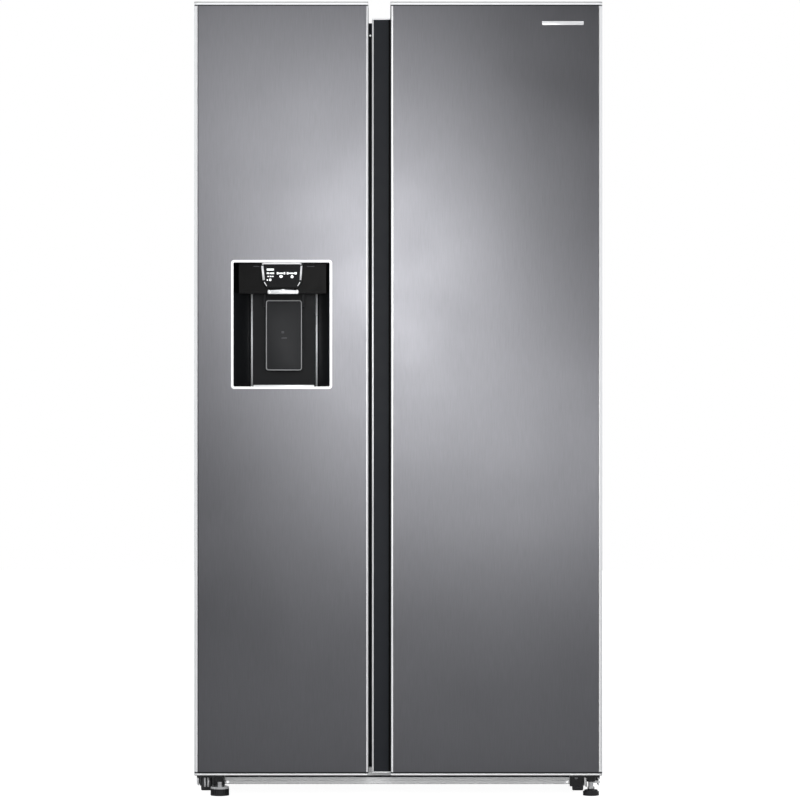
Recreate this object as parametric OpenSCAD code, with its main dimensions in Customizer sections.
// Side by side refrigerator with a water and ice dispenser in the freezer door.
// +Z is up, the doors face -Y, and the origin is on the floor under the middle of the closed cabinet.
// Left is the freezer and right is the fridge, as seen from the front.

/* [Overall] */
// Width over the closed doors
overall_w = 912; // [900:1:924]
// Depth from the dispenser frame to the back
overall_d = 716; // [706:1:730]
// Height from the floor to the door tops
overall_h = 1780; // [1760:1:1800]

/* [Doors] */
// Width of the freezer door's front
freezer_front_w = 388.8; // [380:0.1:395]
// Width of the fridge door's front, without its grip flange
fridge_front_w = 473.7; // [465:0.1:474]
// Gap between the two doors
door_gap = 8; // [6:0.5:9]
// Thickness of a door, without its gasket
door_t = 91; // [86:1:95]
// Height of the door bottoms above the floor
door_bottom = 51; // [50:1:54]
// How far the doors turn open, in degrees
door_open = 120; // [90:1:120]

/* [Cabinet] */
// Width of the cabinet behind the doors
case_w = 908; // [900:1:908]
// Height of the cabinet's top
case_top = 1744; // [1735:1:1748]
// Thickness of a side wall with its insulation
wall_t = 46; // [44:1:48]
// Thickness of the wall between the two compartments
partition_t = 64; // [60:1:66]

/* [Interior] */
// Heights of the freezer's shelves
freezer_shelf_z = [560, 930, 1310];
// Heights of the fridge's shelves
fridge_shelf_z = [545, 880, 1210];
// Heights of the bins on the freezer door
freezer_bin_z = [160, 400, 640, 900];
// Heights of the bins on the fridge door
fridge_bin_z = [160, 460, 760, 1060, 1360];

/* [Hidden] */
$fn = 48;
e = 1; // overshoot of a cutting shape

// Depth planes, front to back
y_front = -overall_d / 2;
y_face = y_front + 1; // door skin's outer face; the dispenser frame stands 1 mm proud of it
y_door_back = y_front + door_t + 1;
y_case = y_front + 106;
y_gasket_back = y_case - 0.3;
y_bin_front = y_case + 110; // rearmost reach of the door bins into the cabinet
y_shelf_front = y_bin_front + 16;
y_shelf_back = y_case + 484;
y_cavity_back = y_case + 542;
y_step = y_case + 347; // front of the step over the machine room
y_back = overall_d / 2;
y_back_sheet = y_back - 3;
y_machine_cover = y_back - 20;

// Heights
door_top = overall_h;
top_cap_h = 7;
bottom_cap_h = 5;
skin_z0 = door_bottom + bottom_cap_h;
skin_z1 = door_top - top_cap_h;
flange_top = case_top + 3;
case_bottom = 16;
base_z = 56;
base_t = 2;
cavity_z0 = 118;
cavity_z1 = case_top - 54;
machine_top = 300;
step_z = 330;

// Across the width, measured as u from a door's outer edge towards the middle
half_w = overall_w / 2;
cavity_u0 = (overall_w - case_w) / 2 + wall_t;
FREEZER = -1;
FRIDGE = 1;
flange_w = overall_w - freezer_front_w - fridge_front_w - door_gap;
split_x = -half_w + freezer_front_w + door_gap / 2;
function front_w(side) = side == FREEZER ? freezer_front_w : fridge_front_w;
function door_w(side) = side == FREEZER ? freezer_front_w : fridge_front_w + flange_w;
function cavity_u1(side) = half_w + (side == FREEZER ? split_x : -split_x) - partition_t / 2;
function bin_room(side) = side == FREEZER ? 46 : 34; // room beside the bins for the door's swing
function shelf_z(side) = side == FREEZER ? freezer_shelf_z : fridge_shelf_z;
function bin_z(side) = side == FREEZER ? freezer_bin_z : fridge_bin_z;

// Hinge axis, as u and y
pin_u = 14;
pin_y = y_front + 42;
pin_r = 5;
running = 0.06;
bush_r = 10;
hinge_z = case_top + 2;
notch_z0 = case_top - 2;

// Door build
skin_t = 0.8;
edge_r = 7;
inner_edge_r = 4;
grip_t = 2;
strip_gap = 0.1;
lip_depth = 14; // depth of a door's inner edge, in front of the finger pocket
pocket_w = 28;
freezer_pocket_y = y_front + 58;
channel_y = y_front + 40; // floor of the finger channel on the fridge door
liner_t = 2;
dyke_t = 14;
dyke_y = y_case + 40;
gasket_w = 16;

// Dispenser, in x and z
disp_x0 = -373.6;
disp_x1 = -147.8;
disp_z0 = 914.7;
disp_z1 = 1202.8;
disp_rim = 5.4;
disp_depth = 81;
disp_back_x0 = -333;
disp_back_x1 = -182;
disp_hood_z = 1129;
console_cx = (disp_x0 + disp_x1) / 2;
lever_w = 80;
lever_z0 = 957;
lever_z1 = 1114;
lever_pin_z = 1108;
lever_pin_y = y_front + 58.5;
lever_pin_r = 2.4;

// Feet and rollers, as [x, y, z of the axis or radius]
foot_left = [-402, y_front + 62, 21];
foot_right = [434, y_front + 62, 18];
foot_left_h = 20;
foot_right_h = 12;
screw_r = 5;
roller_r = 20;
roller_w = 24;
axle_r = 4;
front_roller_left_at = [-436, y_case + 26, 22];
front_roller_right_at = [408, y_case + 26, 22];
rear_roller_left_at = [-432, y_back - 52, 20];
rear_roller_right_at = [432, y_back - 52, 20];

// ---------- shared shapes ----------

// A box between two corners
module block(lo, hi) {
    translate(lo) cube(hi - lo);
}

// A rectangle with round corners, between two corners
module round_rect(lo, hi, r) {
    translate([lo.x + r, lo.y]) square([hi.x - lo.x - 2 * r, hi.y - lo.y]);
    translate([lo.x, lo.y + r]) square([hi.x - lo.x, hi.y - lo.y - 2 * r]);
    for (x = [lo.x + r, hi.x - r], y = [lo.y + r, hi.y - r]) translate([x, y]) circle(r);
}

// Its child, drawn in x and z, as a plate from y0 to y1
module upright(y0, y1) {
    translate([0, y1, 0]) rotate([90, 0, 0]) linear_extrude(y1 - y0) children();
}

// Its child, drawn in y and z, as a bar from x0 to x1
module crosswise(x0, x1) {
    translate([x0, 0, 0]) rotate([90, 0, 90]) linear_extrude(x1 - x0) children();
}

// Its child, drawn in u for the left, on one side of the cabinet
module on_side(side) {
    if (side == FREEZER) translate([-half_w, 0, 0]) children();
    else mirror([1, 0, 0]) translate([-half_w, 0, 0]) children();
}

module rod_x(at, r, length) {
    translate([at.x - length / 2, at.y, at.z]) rotate([0, 90, 0]) cylinder(r = r, h = length);
}

module rod_y(at, r, length) {
    translate(at) rotate([-90, 0, 0]) cylinder(r = r, h = length);
}

// Finned block with tubes across it, for an evaporator or a condenser
module fin_block(lo, hi, fins, rows) {
    size = hi - lo;
    for (i = [0 : fins - 1])
        block([lo.x + 12 + i * (size.x - 25) / (fins - 1), lo.y, lo.z],
              [lo.x + 13 + i * (size.x - 25) / (fins - 1), hi.y, hi.z]);
    for (row = [0 : rows - 1])
        rod_x([(lo.x + hi.x) / 2, (lo.y + hi.y) / 2, lo.z + size.z * (row + 0.5) / rows], 4, size.x);
    for (x = [lo.x, hi.x - 6]) block([x, lo.y + 4, lo.z + 4], [x + 6, hi.y - 4, hi.z - 4]);
}

// Impeller on the Z axis: a bored hub with flat pitched blades
module impeller(r, hub_r, depth, bore_r, blades) {
    difference() {
        union() {
            cylinder(r = hub_r, h = depth);
            for (i = [0 : blades - 1]) rotate([0, 0, i * 360 / blades]) intersection() {
                translate([hub_r - 2, 0, depth / 2]) rotate([28, 0, 0])
                    translate([0, -r * 0.3, -1]) cube([r - hub_r + 2, r * 0.6, 2]);
                cylinder(r = r, h = depth);
            }
        }
        translate([0, 0, -e]) cylinder(r = bore_r, h = depth + 2 * e);
    }
}

// ---------- cabinet ----------

flange_reach = 28; // steel return around the front of the cabinet
sill_z0 = base_z + base_t + 0.2;

module cabinet_shell() {
    side_x = case_w / 2;
    color("dimgray") {
        for (s = [-1, 1]) {
            block([min(s * side_x, s * (side_x - 1)), y_case, case_bottom],
                  [max(s * side_x, s * (side_x - 1)), y_back_sheet, case_top]);
            block([min(s * side_x, s * (side_x - flange_reach)), y_case, sill_z0],
                  [max(s * side_x, s * (side_x - flange_reach)), y_case + 1.2, case_top]);
        }
        block([-side_x, y_case, case_top - 1], [side_x, y_back_sheet, case_top]);
        block([-side_x, y_case, case_top - flange_reach], [side_x, y_case + 1.2, case_top]);
        block([-side_x, y_case, sill_z0], [side_x, y_case + 1.2, cavity_z0 - 18]);
    }
}

module back_panel() {
    color("darkgray") {
        block([-case_w / 2, y_back_sheet, machine_top], [case_w / 2, y_back_sheet + 1, case_top]);
        // pressed stiffening fields
        for (x = [-300, 0, 300]) upright(y_back_sheet + 1, y_back)
            round_rect([x - 120, machine_top + 60], [x + 120, case_top - 80], 30);
    }
}

// The space of a compartment, grown by a margin
module cavity(side, grow) {
    on_side(side) difference() {
        block([cavity_u0 - grow, y_case - e, cavity_z0 - grow],
              [cavity_u1(side) + grow, y_cavity_back + grow, cavity_z1 + grow]);
        block([cavity_u0 - grow - e, y_step + grow, cavity_z0 - grow - e],
              [cavity_u1(side) + grow + e, y_cavity_back + grow + e, step_z - grow]);
    }
}

control_lo = [90, y_back_sheet - 40, 1340];
control_hi = [320, y_back_sheet - 4, 1600];

module cabinet_insulation() {
    margin = 1.5;
    color("khaki") difference() {
        block([-case_w / 2 + margin, y_case + 2.2, base_z + base_t],
              [case_w / 2 - margin, y_back_sheet - 0.2, case_top - margin]);
        cavity(FREEZER, liner_t + 0.2);
        cavity(FRIDGE, liner_t + 0.2);
        block([-half_w, y_step + 40, base_z - e], [half_w, y_back, machine_top]);
        block(control_lo - [3, 3, 3], control_hi + [3, 60, 3]);
    }
}

rail_u0 = 42; // room beside a drawer at the hinge side
rail_u1 = 16;
lip_z = [308, 512]; // undersides of the lower and upper drawers' lips

module liner(side) {
    u1 = cavity_u1(side);
    color("white") {
        difference() {
            cavity(side, liner_t);
            cavity(side, 0);
            on_side(side) block([0, y_case - 2 * e, 0], [half_w * 2, y_case, case_top]);
        }
        on_side(side) {
            // flange behind the gasket
            difference() {
                block([flange_reach + 2.2, y_case, cavity_z0 - 17.8],
                      [u1 - 0.1, y_case + 2, case_top - flange_reach - 0.2]);
                block([cavity_u0, y_case - e, cavity_z0], [u1 + e, y_case + 2 + e, cavity_z1]);
            }
            // shelf ledges
            for (z = shelf_z(side), u = [cavity_u0 - 1, u1 - 8])
                block([u, y_shelf_front + 10, z - 9], [u + 9, y_shelf_back, z - 0.2]);
            // drawer rails
            for (i = [0, 1]) {
                depth = i == 0 ? y_step - 2 : y_shelf_back;
                block([cavity_u0 - 1, y_shelf_front, lip_z[i] - 9],
                      [cavity_u0 + rail_u0 - 3, depth, lip_z[i] - 0.5]);
                block([u1 - rail_u1 + 3, y_shelf_front, lip_z[i] - 9], [u1 + 1, depth, lip_z[i] - 0.5]);
            }
        }
    }
}

module mullion_cover() {
    color("darkslategray") upright(y_case, y_case + 2)
        translate([split_x - partition_t / 2 + liner_t + 0.2, cavity_z0 - 17.8])
            square([partition_t - 2 * liner_t - 0.4, case_top - flange_reach - cavity_z0 + 17.6]);
}

// Two ears and the fixed axle of one roller
module roller_fork(at) {
    for (s = [-1, 1]) translate([at.x + s * (roller_w / 2 + 2.2), 0, 0])
        block([-1.2, at.y - 11, at.z - 8], [1.2, at.y + 11, base_z]);
    rod_x(at, axle_r, roller_w + 6);
}

fan_at = [60, y_back - 100, 165];
fan_r = 62;

module base_chassis() {
    color("gray") {
        block([-case_w / 2 + 1.2, y_case + 2.4, base_z],
              [case_w / 2 - 1.2, y_machine_cover - 1, base_z + base_t - 0.2]);
        for (at = [front_roller_left_at, front_roller_right_at, rear_roller_left_at, rear_roller_right_at])
            roller_fork(at);
        // shroud and motor of the condenser fan
        difference() {
            block([fan_at.x - 1, fan_at.y - 75, base_z], [fan_at.x + 1, fan_at.y + 72, base_z + 190]);
            rod_x(fan_at, fan_r + 4, 6);
        }
        block([fan_at.x - 45, fan_at.y - 6, base_z], [fan_at.x - 40, fan_at.y + 6, fan_at.z]);
        rod_x(fan_at + [-33, 0, 0], 20, 24);
        rod_x(fan_at + [-5, 0, 0], 3, 34);
    }
}

module toe_rail() {
    x0 = -392.6;
    x1 = 387.6;
    color("lightgray") difference() {
        union() {
            // two bands with a groove between them, under a lip that closes the gap above
            crosswise(x0, x1) polygon([
                [y_case - 0.2, base_z - 0.2], [y_case - 2, base_z - 0.2], [y_case - 2, 49.5],
                [y_case - 9, 47],
                [y_case - 11, 40], [y_case - 11, 31], [y_case - 9.5, 30.6], [y_case - 9.5, 29.6],
                [y_case - 13, 29.2], [y_case - 13.5, 23], [y_case - 12, 21], [y_case - 0.2, 21]]);
            for (x = [-300, -100, 100, 280])
                block([x, y_case - 4, 42], [x + 24, y_case + 14, base_z - 0.2]);
        }
        crosswise(x0 + 3, x1 - 3) polygon([
            [y_case + e, 47.5], [y_case - 5, 46], [y_case - 8, 39], [y_case - 7.5, 30],
            [y_case - 10.5, 27], [y_case - 10.5, 24], [y_case + e, 24]]);
    }
}

// A lower hinge bearing a door, with the housing of its foot's screw
module leg_bracket(side, foot, housing_x, housing_half, housing_z) {
    on_side(side) {
        block([4, pin_y - 12, 43], [62, y_case + 12, 46.5]);
        block([30, y_case + 2.4, 43], [62, y_case + 12, base_z - 0.2]);
        translate([pin_u, pin_y, 43]) cylinder(r = pin_r, h = 27);
        translate([pin_u, pin_y, 43]) cylinder(r = pin_r + 4, h = 7);
    }
    translate([foot.x, foot.y, 31]) cylinder(r = 10, h = 13);
    difference() {
        block([housing_x - housing_half, y_case - 24, housing_z], [housing_x + housing_half, y_case - 3, 44]);
        translate([foot.x, foot.y, -e]) cylinder(r = foot.z + 2, h = 24);
    }
}

module leg_brackets() {
    color("black") difference() {
        union() {
            leg_bracket(FREEZER, foot_left, -405.5, 12.5, 16);
            leg_bracket(FRIDGE, foot_right, 402.5, 14.5, 17);
        }
        for (foot = [foot_left, foot_right])
            translate([foot.x, foot.y, 25]) cylinder(r = screw_r + running, h = 30);
    }
}

module top_hinges() {
    z0 = case_top + 0.2;
    color("silver") for (side = [FREEZER, FRIDGE]) on_side(side) {
        block([5, y_case - 10, z0], [60, y_case + 72, z0 + 3]);
        block([pin_u - 12, pin_y, z0], [pin_u + 12, y_case - 9, z0 + 3]);
        translate([pin_u, pin_y, z0]) cylinder(r = 12, h = 3);
        translate([pin_u, pin_y, notch_z0 - 26]) cylinder(r = pin_r, h = 30);
    }
}

module hinge_covers() {
    color("gray") for (side = [FREEZER, FRIDGE]) on_side(side) difference() {
        translate([0, 0, case_top + 0.1]) linear_extrude(30)
            round_rect([2.2, y_case + 2], [76, y_case + 96], 8);
        translate([0, 0, case_top - e]) linear_extrude(29)
            round_rect([4.4, y_case + 4.2], [73.8, y_case + 93.8], 6);
        block([3, y_case - e, case_top - e], [61, y_case + 10, case_top + 4]);
    }
}

module machine_cover() {
    color("dimgray") difference() {
        union() {
            block([-case_w / 2 + 1.2, y_machine_cover, base_z],
                  [case_w / 2 - 1.2, y_machine_cover + 2, machine_top - 0.2]);
            block([-case_w / 2 + 1.2, y_machine_cover, machine_top - 2.2],
                  [case_w / 2 - 1.2, y_back_sheet + 1, machine_top - 0.2]);
        }
        for (row = [0 : 5], x = [-400 : 50 : -100]) block([x, y_machine_cover - e, 110 + row * 22],
            [x + 36, y_machine_cover + 3, 116 + row * 22]);
        for (row = [0 : 5], x = [120 : 50 : 330]) block([x, y_machine_cover - e, 110 + row * 22],
            [x + 36, y_machine_cover + 3, 116 + row * 22]);
        rod_y(valve_at - [0, 30, 0], 14, 40);
        rod_y(gland_at - [0, 30, 0], 9.2, 40);
    }
}

valve_at = [-20, y_machine_cover + 2, 250];
gland_at = [40, y_machine_cover + 2, 275];
compressor_at = [240, y_step + 140, base_z + base_t];

module compressor() {
    color("black") translate(compressor_at) {
        rotate_extrude() polygon([[0, 14], [58, 14], [68, 24], [70, 30], [70, 96], [73, 96], [73, 102],
            [70, 102], [70, 128], [62, 146], [44, 158], [20, 163], [0, 164]]);
        for (a = [45 : 90 : 315]) rotate([0, 0, a]) translate([66, 0, 0]) {
            translate([0, 0, 0.2]) cylinder(r = 12, h = 14);
            translate([-14, -12, 14]) cube([26, 24, 3]);
        }
        translate([-30, -88, 60]) cube([60, 26, 60]);
    }
}

module condenser() {
    color("black") fin_block([-340, y_step + 62, 96], [-60, y_machine_cover - 14, 250], 20, 4);
}

module drain_pan() {
    color("lightgray") difference() {
        block([-350, y_step + 56, base_z + base_t], [-50, y_machine_cover - 6, 90]);
        block([-347, y_step + 59, base_z + base_t + 3], [-53, y_machine_cover - 9, 92]);
    }
    color("lightgray") for (x = [-336, -72])
        block([x, y_step + 80, base_z + base_t + 2], [x + 8, y_step + 180, 95.8]);
}

// Fan grille in a duct cover, with the fan's motor behind it
duct_y = y_cavity_back - 54;
duct_fan_r = 48;
freezer_fan_at = [(-half_w + cavity_u0 - half_w + cavity_u1(FREEZER)) / 2, duct_y + 8, 700];
fridge_fan_at = [(half_w - cavity_u0 + half_w - cavity_u1(FRIDGE)) / 2, duct_y + 8, 700];

module duct_cover(fan, lo, hi) {
    difference() {
        union() {
            difference() {
                block([lo.x, duct_y, lo.y], [hi.x, y_cavity_back - 0.3, hi.y]);
                block([lo.x + 3, duct_y + 3, lo.y + 3], [hi.x - 3, y_cavity_back + e, hi.y - 3]);
            }
            rod_y([fan.x, fan.y + 24, fan.z], 22, 18);
            rod_y([fan.x, fan.y - 2, fan.z], 3, 30);
            for (s = [-1, 1]) {
                block([fan.x + s * 44 - 30, fan.y + 30, fan.z - 4],
                      [fan.x + s * 44 + 30, fan.y + 36, fan.z + 4]);
                block([fan.x + s * 72 - 4, duct_y + 2, fan.z - 4],
                      [fan.x + s * 72 + 4, fan.y + 36, fan.z + 4]);
            }
        }
        difference() {
            rod_y([fan.x, duct_y - e, fan.z], duct_fan_r + 2, 3 + 2 * e);
            for (a = [-40 : 16 : 40])
                block([fan.x - 60, duct_y - 2 * e, fan.z + a - 1.5],
                      [fan.x + 60, duct_y + 5, fan.z + a + 1.5]);
        }
        for (row = [0 : 3])
            block([fan.x - 50, duct_y - e, hi.y - 40 - row * 18],
                  [fan.x + 50, duct_y + 4, hi.y - 32 - row * 18]);
    }
}

module freezer_duct_cover() {
    color("white") duct_cover(freezer_fan_at,
        [-half_w + cavity_u0 + 2, step_z + 2], [-half_w + cavity_u1(FREEZER) - 2, 1240]);
}

module fridge_duct_cover() {
    color("white") duct_cover(fridge_fan_at,
        [fridge_fan_at.x - 110, step_z + 2], [fridge_fan_at.x + 110, cavity_z1 - 30]);
}

module evaporators() {
    color("silver") {
        fin_block([freezer_fan_at.x - 140, y_cavity_back - 42, 380],
                  [freezer_fan_at.x + 140, y_cavity_back - 4, 600], 22, 5);
        fin_block([fridge_fan_at.x - 100, y_cavity_back - 42, 380],
                  [fridge_fan_at.x + 100, y_cavity_back - 4, 600], 16, 5);
    }
}

module control_module() {
    color("green") {
        block(control_lo, [control_hi.x, control_lo.y + 3, control_hi.z]);
        for (x = [control_lo.x, control_hi.x - 3])
            block([x, control_lo.y, control_lo.z], [x + 3, control_hi.y, control_hi.z]);
        for (i = [0 : 4]) block([control_lo.x + 20 + i * 36, control_lo.y + 2, control_lo.z + 40],
            [control_lo.x + 44 + i * 36, control_lo.y + 16 + i * 2, control_lo.z + 120 + i * 12]);
    }
}

module cord_gland() {
    color("black") difference() {
        union() {
            rod_y(gland_at - [0, 8, 0], 9, 16);
            rod_y(gland_at + [0, 0.2, 0], 13, 5);
            rod_y(gland_at - [0, 7, 0], 13, 4.8);
        }
        rod_y(gland_at - [0, 9, 0], 4.2, 20);
    }
}

spigot_r = 13.2;
spigot_h = 12;

module water_valve() {
    color("royalblue") {
        rod_y(valve_at + [0, 3, 0], spigot_r, spigot_h);
        rod_y(valve_at - [0, 12, 0], spigot_r, 16);
        rod_y(valve_at + [0, 0.2, 0], 18, 3);
        block(valve_at + [-22, -58, -16], valve_at + [22, -11, 16]);
        translate(valve_at + [0, -36, 15]) cylinder(r = 13, h = 22);
    }
}

// ---------- inside ----------

module shelf(side, i) {
    z = shelf_z(side)[i];
    u0 = cavity_u0 + 2;
    u1 = cavity_u1(side) - 2;
    color("paleturquoise") on_side(side) {
        block([u0, y_shelf_front + 12, z], [u1, y_shelf_back - 12, z + 4]);
        difference() {
            block([u0, y_shelf_front, z - 12], [u1, y_shelf_front + 14, z + 7]);
            block([u0 - e, y_shelf_front + 9.8, z - 13], [cavity_u0 + 10, y_shelf_front + 20, z]);
            block([u1 - 9, y_shelf_front + 9.8, z - 13], [u1 + e, y_shelf_front + 20, z]);
        }
        block([u0, y_shelf_back - 14, z], [u1, y_shelf_back - 2, z + 7]);
    }
}

module freezer_shelf_1() { shelf(FREEZER, 0); }
module freezer_shelf_2() { shelf(FREEZER, 1); }
module freezer_shelf_3() { shelf(FREEZER, 2); }
module fridge_shelf_1() { shelf(FRIDGE, 0); }
module fridge_shelf_2() { shelf(FRIDGE, 1); }
module fridge_shelf_3() { shelf(FRIDGE, 2); }

drawer_wall = 3;
drawer_front_t = 12;
drawer_y0 = y_shelf_front + 6;
drawer_z = [122, 334];

module drawer(side, i) {
    u0 = cavity_u0 + rail_u0;
    u1 = cavity_u1(side) - rail_u1;
    y1 = i == 0 ? y_step - 8 : y_shelf_back - 10;
    z0 = drawer_z[i];
    z1 = lip_z[i];
    color("white") on_side(side) {
        difference() {
            block([u0, drawer_y0, z0], [u1, y1, z1]);
            block([u0 + drawer_wall, drawer_y0 + drawer_front_t, z0 + drawer_wall],
                  [u1 - drawer_wall, y1 - drawer_wall, z1 + e]);
            // finger pull in the front
            block([(u0 + u1) / 2 - 60, drawer_y0 - e, z1 - 40], [(u0 + u1) / 2 + 60, drawer_y0 + 8, z1 - 16]);
        }
        // lips that ride on the rails
        block([u0 - 10, drawer_y0 + 14, z1], [u0 + drawer_wall, y1, z1 + 3]);
        block([u1 - drawer_wall, drawer_y0 + 14, z1], [u1 + 9, y1, z1 + 3]);
    }
}

module freezer_drawer_lower() { drawer(FREEZER, 0); }
module freezer_drawer_upper() { drawer(FREEZER, 1); }
module crisper_lower() { drawer(FRIDGE, 0); }
module crisper_upper() { drawer(FRIDGE, 1); }

module condenser_fan() {
    color("black") translate(fan_at - [9, 0, 0]) rotate([0, 90, 0]) impeller(fan_r, 16, 18, 3 + running, 5);
}

module duct_fan(at) {
    color("dimgray") translate(at) rotate([-90, 0, 0]) impeller(duct_fan_r - 4, 14, 16, 3 + running, 7);
}

module freezer_fan() { duct_fan(freezer_fan_at + [0, 2, 0]); }
module fridge_fan() { duct_fan(fridge_fan_at + [0, 2, 0]); }

// ---------- rollers and feet ----------

module roller(at) {
    color("darkslategray") translate([at.x - roller_w / 2, at.y, at.z]) rotate([0, 90, 0]) rotate_extrude()
        difference() {
            polygon([[axle_r + running, 0], [roller_r - 1, 0], [roller_r, 1], [roller_r, roller_w - 1],
                [roller_r - 1, roller_w], [axle_r + running, roller_w]]);
            // dished sides between the hub and the tread
            for (x = [-e, roller_w - 4]) translate([12, x]) square([roller_r - 15, 4 + e]);
        }
}

module front_roller_left() { roller(front_roller_left_at); }
module front_roller_right() { roller(front_roller_right_at); }
module rear_roller_left() { roller(rear_roller_left_at); }
module rear_roller_right() { roller(rear_roller_right_at); }

module levelling_foot_left() {
    color("gray") translate([foot_left.x, foot_left.y, 0]) {
        cylinder(r = foot_left.z - 1.6, h = foot_left_h);
        cylinder(r = foot_left.z, h = 4);
        for (a = [0 : 15 : 345]) rotate([0, 0, a]) translate([foot_left.z - 3, -1.2, 3])
            cube([2.8, 2.4, foot_left_h - 4]);
        cylinder(r = screw_r, h = 49);
    }
}

module levelling_foot_right() {
    color("gray") translate([foot_right.x, foot_right.y, 0]) {
        cylinder(r = foot_right.z, h = foot_right_h - 3);
        cylinder(r = foot_right.z - 3, h = foot_right_h);
        translate([0, 0, foot_right_h - e]) cylinder(r = 8, h = 8, $fn = 6);
        cylinder(r = screw_r, h = 49);
    }
}

// ---------- doors ----------

// Plan of a door's main body, drawn in u and y, inset by a margin, with round front corners
module door_plan(side, inset) {
    u1 = front_w(side) - inset;
    y0 = y_face + inset;
    y1 = y_door_back;
    r0 = edge_r - inset;
    r1 = inner_edge_r - inset;
    translate([inset + r0, y0]) square([u1 - inset - r0 - r1, y1 - y0]);
    translate([inset, y0 + r0]) square([u1 - inset, y1 - y0 - r0]);
    translate([inset + r0, y0 + r0]) circle(r0);
    translate([u1 - r1, y0 + r1]) circle(r1);
}

function pocket_y0() = y_front + lip_depth + 1;
function pocket_y1(side) = side == FREEZER ? freezer_pocket_y : channel_y;

// Plan of the finger pocket behind a door's inner edge, grown by a margin
module pocket_plan(side, grow) {
    u1 = front_w(side);
    translate([u1 - pocket_w - grow, pocket_y0() - grow])
        square([pocket_w + grow + 90, pocket_y1(side) - pocket_y0() + 2 * grow]);
}

// Room for the top hinge's arm at a door's upper outer corner
module hinge_notch(side, grow) {
    on_side(side) block([-e, pin_y - 27 - grow, notch_z0 - grow], [31 + grow, y_door_back + e, door_top + e]);
}

module door_bushes(side, r) {
    on_side(side) {
        translate([pin_u, pin_y, door_bottom]) cylinder(r = r, h = 26);
        translate([pin_u, pin_y, notch_z0 - 28]) cylinder(r = r, h = 28);
    }
}

module door_skin(side) {
    w = front_w(side);
    on_side(side) difference() {
        union() {
            translate([0, 0, skin_z0]) linear_extrude(skin_z1 - skin_z0) {
                difference() {
                    door_plan(side, 0);
                    difference() {
                        door_plan(side, skin_t);
                        translate([0, y_door_back - skin_t]) square([12, 5]);
                    }
                    translate([skin_t, y_door_back - e]) square([w - 2 * skin_t, 5]);
                    pocket_plan(side, grip_t + 0.1);
                    translate([w - 20, pocket_y0()]) square([30, 3]);
                }
                translate([0, y_door_back - skin_t]) square([12, skin_t]);
                if (side == FREEZER) translate([w - 12, y_door_back - skin_t]) square([12, skin_t]);
            }
            if (side == FRIDGE) translate([0, 0, skin_z0]) linear_extrude(flange_top - 3.1 - skin_z0) {
                translate([door_w(side) - skin_t, channel_y]) square([skin_t, y_door_back - channel_y]);
                translate([door_w(side) - 3.8, channel_y]) square([3.8, skin_t]);
                translate([door_w(side) - 12, y_door_back - skin_t]) square([12, skin_t]);
            }
        }
        if (side == FRIDGE)
            block([w - 2, channel_y, skin_z0 - e], [w + e, y_door_back + e, flange_top + 0.1]);
    }
}

module foam_main(side) {
    on_side(side) {
        translate([0, 0, skin_z0 + 0.2]) linear_extrude(skin_z1 - skin_z0 - 0.4) difference() {
            door_plan(side, skin_t + 0.2);
            pocket_plan(side, grip_t + 0.2);
            translate([0, y_door_back - liner_t - 0.2]) square([door_w(side), 10]);
        }
        if (side == FRIDGE) block(
            [front_w(side) - 3, channel_y + grip_t + 0.2, door_bottom + bottom_cap_h + 0.2],
            [door_w(side) - skin_t - 0.2, y_door_back - liner_t - 0.2, flange_top - 3.2]);
    }
}

module door_foam(side) {
    color("khaki") difference() {
        foam_main(side);
        hinge_notch(side, 2.2);
        door_bushes(side, bush_r + 0.2);
        if (side == FREEZER) {
            upright(y_front - e, y_face + 3)
                round_rect([disp_x0 - 0.2, disp_z0 - 0.2], [disp_x1 + 0.2, disp_z1 + 0.2], 7);
            dispenser_void(2.3);
            block([chute_lo.x - 2.3, chute_lo.y - 2.3, disp_z1 - 8], chute_hi + [2.3, 10, 2.3]);
            foam_seams();
        }
    }
}

// Seams that part the freezer door's foam into blocks round the dispenser, the chute and the pocket
module foam_seams() {
    x0 = disp_x0 - 0.2;
    x1 = disp_x1 + 0.2;
    z0 = disp_z0 + 2;
    z1 = disp_z1 - 3.1;
    z2 = chute_hi.z + 2.3;
    seam_x(x0 - strip_gap, 0, door_top);
    seam_x(x1, 0, door_top);
    seam_x(freezer_front_w - half_w - pocket_w - grip_t - 0.2 - strip_gap, 0, door_top);
    for (z = [z0 - strip_gap, z1, z2]) block([x0 - e, y_front, z], [x1 + e, y_door_back, z + strip_gap]);
    seam_x(disp_back_x0 - 2.3 - strip_gap, z0, z1);
    seam_x(disp_back_x1 + 2.3, z0, z1);
    seam_x(chute_lo.x - 2.3 - strip_gap, z1, z2);
    seam_x(chute_hi.x + 2.3, z1, z2);
}

// A seam across a door, front to back, from height z0 to z1
module seam_x(x, z0, z1) {
    block([x, y_front, z0], [x + strip_gap, y_door_back + e, z1]);
}

function dyke_u0() = cavity_u0 + 6;
function dyke_u1(side) = cavity_u1(side) - 16.5;

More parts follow.
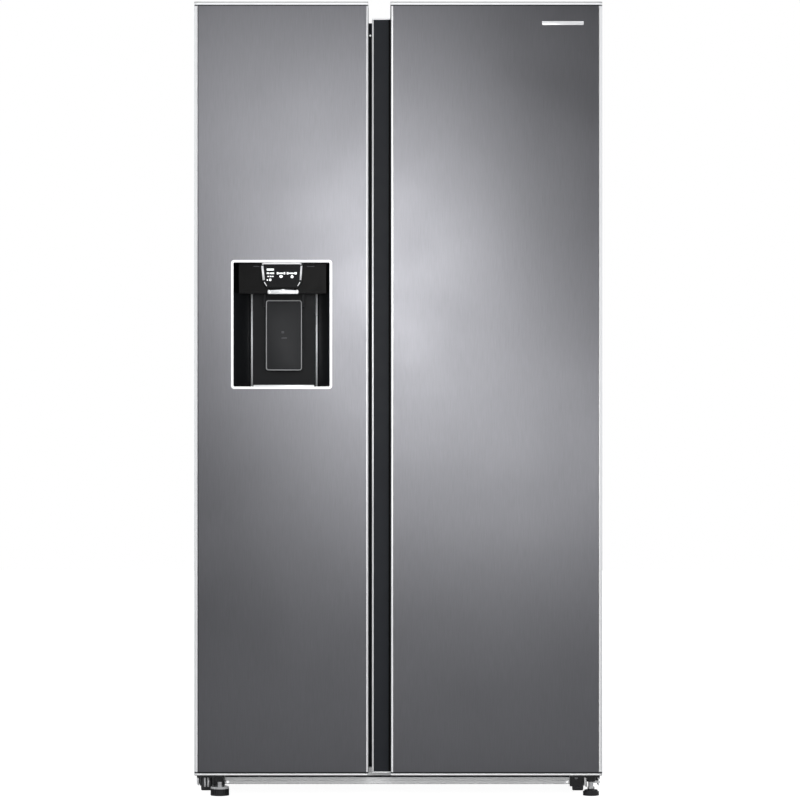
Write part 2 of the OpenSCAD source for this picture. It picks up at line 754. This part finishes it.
module door_liner(side) {
    u0 = dyke_u0();
    u1 = dyke_u1(side);
    y0 = y_door_back + strip_gap;
    z0 = cavity_z0 + 8;
    z1 = cavity_z1 - 8;
    color("white") difference() {
        on_side(side) {
            block([1, y_door_back - liner_t, skin_z0 + 0.2], [front_w(side) - 1, y_door_back, skin_z1 - 0.2]);
            if (side == FRIDGE) block([front_w(side) - 2, y_door_back - liner_t, skin_z0 + 0.2],
                [door_w(side) - 12.2, y_door_back, flange_top - 3.2]);
            // four walls round the bins, set edge to edge
            for (u = [u0, u1 - dyke_t]) block([u, y0, z0], [u + dyke_t, dyke_y, z1]);
            for (z = [z0, z1 - dyke_t])
                block([u0 + dyke_t + strip_gap, y0, z], [u1 - dyke_t - strip_gap, dyke_y, z + dyke_t]);
        }
        on_side(side) for (u = [-e, front_w(side) - 12.2]) if (u < 0 || side == FREEZER)
            block([u, y_door_back - liner_t - e, 0], [u + 12.2 + e, y_door_back + 0.01, door_top]);
        hinge_notch(side, 2.2);
        if (side == FREEZER) block([chute_lo.x - 0.2, y_door_back - 5, chute_lo.z - 0.2],
            [chute_hi.x + 0.2, y_door_back + e, chute_hi.z + 0.2]);
    }
}

module door_gasket(side) {
    u0 = pin_u + 2;
    u1 = cavity_u1(side) + 19;
    color("gray") on_side(side) difference() {
        block([u0, y_door_back + 0.05, cavity_z0 - 20], [u1, y_case - 0.3, cavity_z1 + 20]);
        block([u0 + gasket_w, y_door_back - e, cavity_z0 - 20 + gasket_w],
              [u1 - gasket_w, y_case + e, cavity_z1 + 20 - gasket_w]);
        // bellows groove in its outer and inner sides
        difference() {
            block([u0 - e, y_door_back + 5, cavity_z0 - 21], [u1 + e, y_door_back + 8, cavity_z1 + 21]);
            block([u0 + 3, y_door_back + 4, cavity_z0 - 17], [u1 - 3, y_door_back + 9, cavity_z1 + 17]);
        }
    }
}

module door_end_caps(side) {
    u1 = front_w(side);
    color("silver") difference() {
        union() {
            on_side(side) {
                translate([0, 0, skin_z1]) linear_extrude(top_cap_h) door_plan(side, 0);
                translate([0, 0, door_bottom]) linear_extrude(bottom_cap_h) door_plan(side, 0);
                if (side == FRIDGE) {
                    block([u1 - e, channel_y, door_bottom + 2], [door_w(side), y_door_back, door_bottom + 5]);
                    block([u1, channel_y, flange_top - 3], [door_w(side), y_door_back, flange_top]);
                }
            }
            // tub around the hinge notch
            intersection() {
                hinge_notch(side, 2);
                on_side(side) translate([0, 0, notch_z0 - 2]) linear_extrude(door_top - notch_z0 + 2)
                    door_plan(side, skin_t + 0.1);
            }
            door_bushes(side, bush_r);
        }
        hinge_notch(side, 0);
        on_side(side) {
            translate([pin_u, pin_y, door_bottom - e]) cylinder(r = pin_r + running, h = 22);
            translate([pin_u, pin_y, notch_z0 - 27]) cylinder(r = pin_r + running, h = 29);
        }
    }
}

// The finger pocket's lining: strips behind the lip, at its end and on its floor, set edge to edge
module door_grip(side) {
    u1 = front_w(side) - skin_t - 0.1;
    u0 = front_w(side) - pocket_w;
    u_floor = side == FREEZER ? u1 : front_w(side) - 3;
    y0 = pocket_y0();
    y1 = pocket_y1(side);
    z0 = skin_z0 + 0.1;
    z1 = skin_z1 - 0.1;
    color("black") on_side(side) {
        block([u0 - grip_t, max(y0 - grip_t, y_face + 5), z0], [u1, y0, z1]);
        block([u0 - grip_t, y0 + strip_gap, z0], [u0, y1 + grip_t, z1]);
        block([u0 + strip_gap, y1, z0], [u_floor - strip_gap, y1 + grip_t, z1]);
        if (side == FRIDGE)
            block([u_floor, y1, z0], [door_w(side) - 3.9, y1 + grip_t, flange_top - 3.1]);
    }
}

module door_bins(side) {
    u0 = dyke_u0() + dyke_t + 0.3;
    u1 = dyke_u1(side) - dyke_t - 0.3;
    u2 = cavity_u1(side) - bin_room(side);
    wall = 2.5;
    y0 = y_door_back + 1;
    h = side == FREEZER ? 96 : 110;
    color("paleturquoise") on_side(side) for (z = bin_z(side)) difference() {
        union() {
            block([u0, y0, z], [u1, dyke_y, z + h]);
            block([u0, y0, z], [u2, y_bin_front, z + h]);
        }
        block([u0 + wall, y0 + wall, z + wall], [u2 - wall, y_bin_front - wall, z + h + e]);
        block([u0 + wall, y0 + wall, z + wall], [u1 - wall, dyke_y - wall, z + h + e]);
    }
}

// ---------- dispenser ----------

chute_lo = [-286, y_front + 30, disp_z1 - 6];
chute_hi = [-234, y_door_back, disp_z1 + 60];
chute_back_z = disp_z1 + 14;
hood_y = y_front + 28;

// The recess in the freezer door, grown by a margin
module dispenser_void(grow) {
    y0 = y_face - e;
    y1 = y_front + disp_depth;
    translate([0, 0, disp_z0 + 4.3 - grow]) linear_extrude(disp_z1 - disp_z0 - 9.7 + 2 * grow) polygon([
        [disp_x0 + disp_rim - grow, y0], [disp_x1 - disp_rim + grow, y0],
        [disp_x1 - disp_rim + grow, y_face + 4], [disp_back_x1 + grow, y1 + grow],
        [disp_back_x0 - grow, y1 + grow], [disp_x0 + disp_rim - grow, y_face + 4]]);
}

module dispenser_housing() {
    color("black") difference() {
        union() {
            difference() {
                dispenser_void(2);
                dispenser_void(0);
                block([-half_w, y_front - 9, 0], [0, y_face + 3, door_top]);
            }
            // hood over the lever
            intersection() {
                dispenser_void(1);
                block([-half_w, hood_y, disp_hood_z], [0, y_door_back, door_top]);
            }
            // hanging ears that carry the lever
            for (s = [-1, 1]) translate([lever_cx + s * (lever_w / 2 + 3.4), lever_pin_y, lever_pin_z])
                block([-2.4, -6, -7], [2.4, 6, disp_hood_z - lever_pin_z + e]);
            block(chute_lo, chute_hi);
        }
        block([chute_lo.x + 2, chute_lo.y + 2, disp_hood_z - e],
              [chute_hi.x - 2, chute_lo.y + 26, chute_hi.z - 2]);
        block([chute_lo.x + 2, chute_lo.y + 2, chute_back_z],
              [chute_hi.x - 2, chute_hi.y + e, chute_hi.z - 2]);
        rod_x([lever_cx, lever_pin_y, lever_pin_z], lever_pin_r + running, lever_w + 20);
        housing_seams();
    }
}

// Seams that part the housing into its walls, its hood and the chute's walls
module housing_seams() {
    z0 = disp_z0 + 4.3;
    seam_x(chute_lo.x + 2 - strip_gap, disp_hood_z - e, chute_hi.z + e);
    seam_x(chute_hi.x - 2, disp_hood_z - e, chute_hi.z + e);
    block([chute_lo.x + 2, chute_lo.y - e, chute_hi.z - 2 - strip_gap],
          [chute_hi.x - 2, y_door_back + e, chute_hi.z - 2]);
    block([disp_x0, y_front, disp_hood_z - strip_gap], [disp_x1, y_door_back, disp_hood_z]);
    block([disp_x0, y_front, z0 - strip_gap], [disp_x1, y_door_back, z0]);
    seam_x(disp_back_x0 - strip_gap, z0 - e, disp_hood_z);
    seam_x(disp_back_x1, z0 - e, disp_hood_z);
}

lever_cx = -257.5;

module dispenser_frame() {
    color("silver") difference() {
        upright(y_front, y_face + 2.8) difference() {
            round_rect([disp_x0, disp_z0], [disp_x1, disp_z1], 7);
            round_rect([disp_x0 + disp_rim, disp_z0 + disp_rim], [disp_x1 - disp_rim, disp_z1 - disp_rim], 3);
        }
    }
}

module dispenser_console() {
    color("dimgray") {
        upright(y_front + 5, hood_y - 0.1) polygon([
            [-306.7, disp_z1 - 5.9], [-214, disp_z1 - 5.9], [-217, 1153], [-225.7, 1141.5], [-293.5, 1141.5],
            [-302, 1153]]);
        // water outlet bar under the panel
        block([-280, y_front + 14, 1136], [-235, hood_y - 0.1, 1142]);
        upright(y_front + 7, hood_y - 4) round_rect([-292, 1126.8], [-223, 1136.6], 3);
    }
}

module dispenser_lever() {
    color("gray") {
        upright(lever_pin_y - 2.5, lever_pin_y + 2.5)
            round_rect([lever_cx - lever_w / 2, lever_z0], [lever_cx + lever_w / 2, lever_z1], 5);
        rod_x([lever_cx, lever_pin_y, lever_pin_z], lever_pin_r, lever_w + 10);
    }
}

module drip_tray() {
    lo = [-324, y_front + 10, disp_z0 + 4.4];
    hi = [-190, y_front + 72, disp_z0 + 8.9];
    color("silver") difference() {
        block(lo, hi);
        for (x = [lo.x + 8 : 10 : hi.x - 14]) block([x, lo.y + 6, lo.z + 1.5], [x + 6, hi.y - 5, hi.z + e]);
    }
}

// ---------- door nodes ----------

module freezer_door_skin() {
    color("silver") difference() {
        door_skin(FREEZER);
        hinge_notch(FREEZER, 2.1);
        upright(y_front - 5, y_face + 3)
            round_rect([disp_x0 - 0.1, disp_z0 - 0.1], [disp_x1 + 0.1, disp_z1 + 0.1], 7.1);
    }
}

module fridge_door_skin() {
    color("silver") difference() {
        door_skin(FRIDGE);
        hinge_notch(FRIDGE, 2.1);
    }
}

module freezer_door_foam() { door_foam(FREEZER); }
module fridge_door_foam() { door_foam(FRIDGE); }
module freezer_door_liner() { door_liner(FREEZER); }
module fridge_door_liner() { door_liner(FRIDGE); }
module freezer_door_gasket() { door_gasket(FREEZER); }
module fridge_door_gasket() { door_gasket(FRIDGE); }
module freezer_door_end_caps() { door_end_caps(FREEZER); }
module fridge_door_end_caps() { door_end_caps(FRIDGE); }
module freezer_door_grip() { door_grip(FREEZER); }
module fridge_door_grip() { door_grip(FRIDGE); }
module freezer_door_bins() { door_bins(FREEZER); }
module fridge_door_bins() { door_bins(FRIDGE); }

module ice_bucket() {
    lo = [-384, y_door_back + 1, disp_z1 + 8];
    hi = [-150, y_bin_front, disp_z1 + 330];
    color("paleturquoise") difference() {
        block(lo, hi);
        block(lo + [3, 3, 3], hi + [-3, -3, e]);
        block([chute_lo.x + 2, lo.y - e, chute_back_z], [chute_hi.x - 2, lo.y + 4, chute_hi.z - 2]);
    }
}

module freezer_liner() { liner(FREEZER); }
module fridge_liner() { liner(FRIDGE); }

cabinet_shell();
back_panel();
cabinet_insulation();
freezer_liner();
fridge_liner();
mullion_cover();
base_chassis();
toe_rail();
leg_brackets();
top_hinges();
hinge_covers();
machine_cover();
compressor();
condenser();
drain_pan();
freezer_duct_cover();
fridge_duct_cover();
evaporators();
control_module();
cord_gland();
water_valve();
freezer_shelf_1();
freezer_shelf_2();
freezer_shelf_3();
fridge_shelf_1();
fridge_shelf_2();
fridge_shelf_3();
freezer_drawer_lower();
freezer_drawer_upper();
crisper_lower();
crisper_upper();
condenser_fan();
freezer_fan();
fridge_fan();
front_roller_left();
front_roller_right();
rear_roller_left();
rear_roller_right();
levelling_foot_left();
levelling_foot_right();
freezer_door_skin();
freezer_door_foam();
freezer_door_liner();
freezer_door_gasket();
freezer_door_end_caps();
freezer_door_grip();
freezer_door_bins();
ice_bucket();
dispenser_housing();
dispenser_frame();
dispenser_console();
dispenser_lever();
drip_tray();
fridge_door_skin();
fridge_door_foam();
fridge_door_liner();
fridge_door_gasket();
fridge_door_end_caps();
fridge_door_grip();
fridge_door_bins();
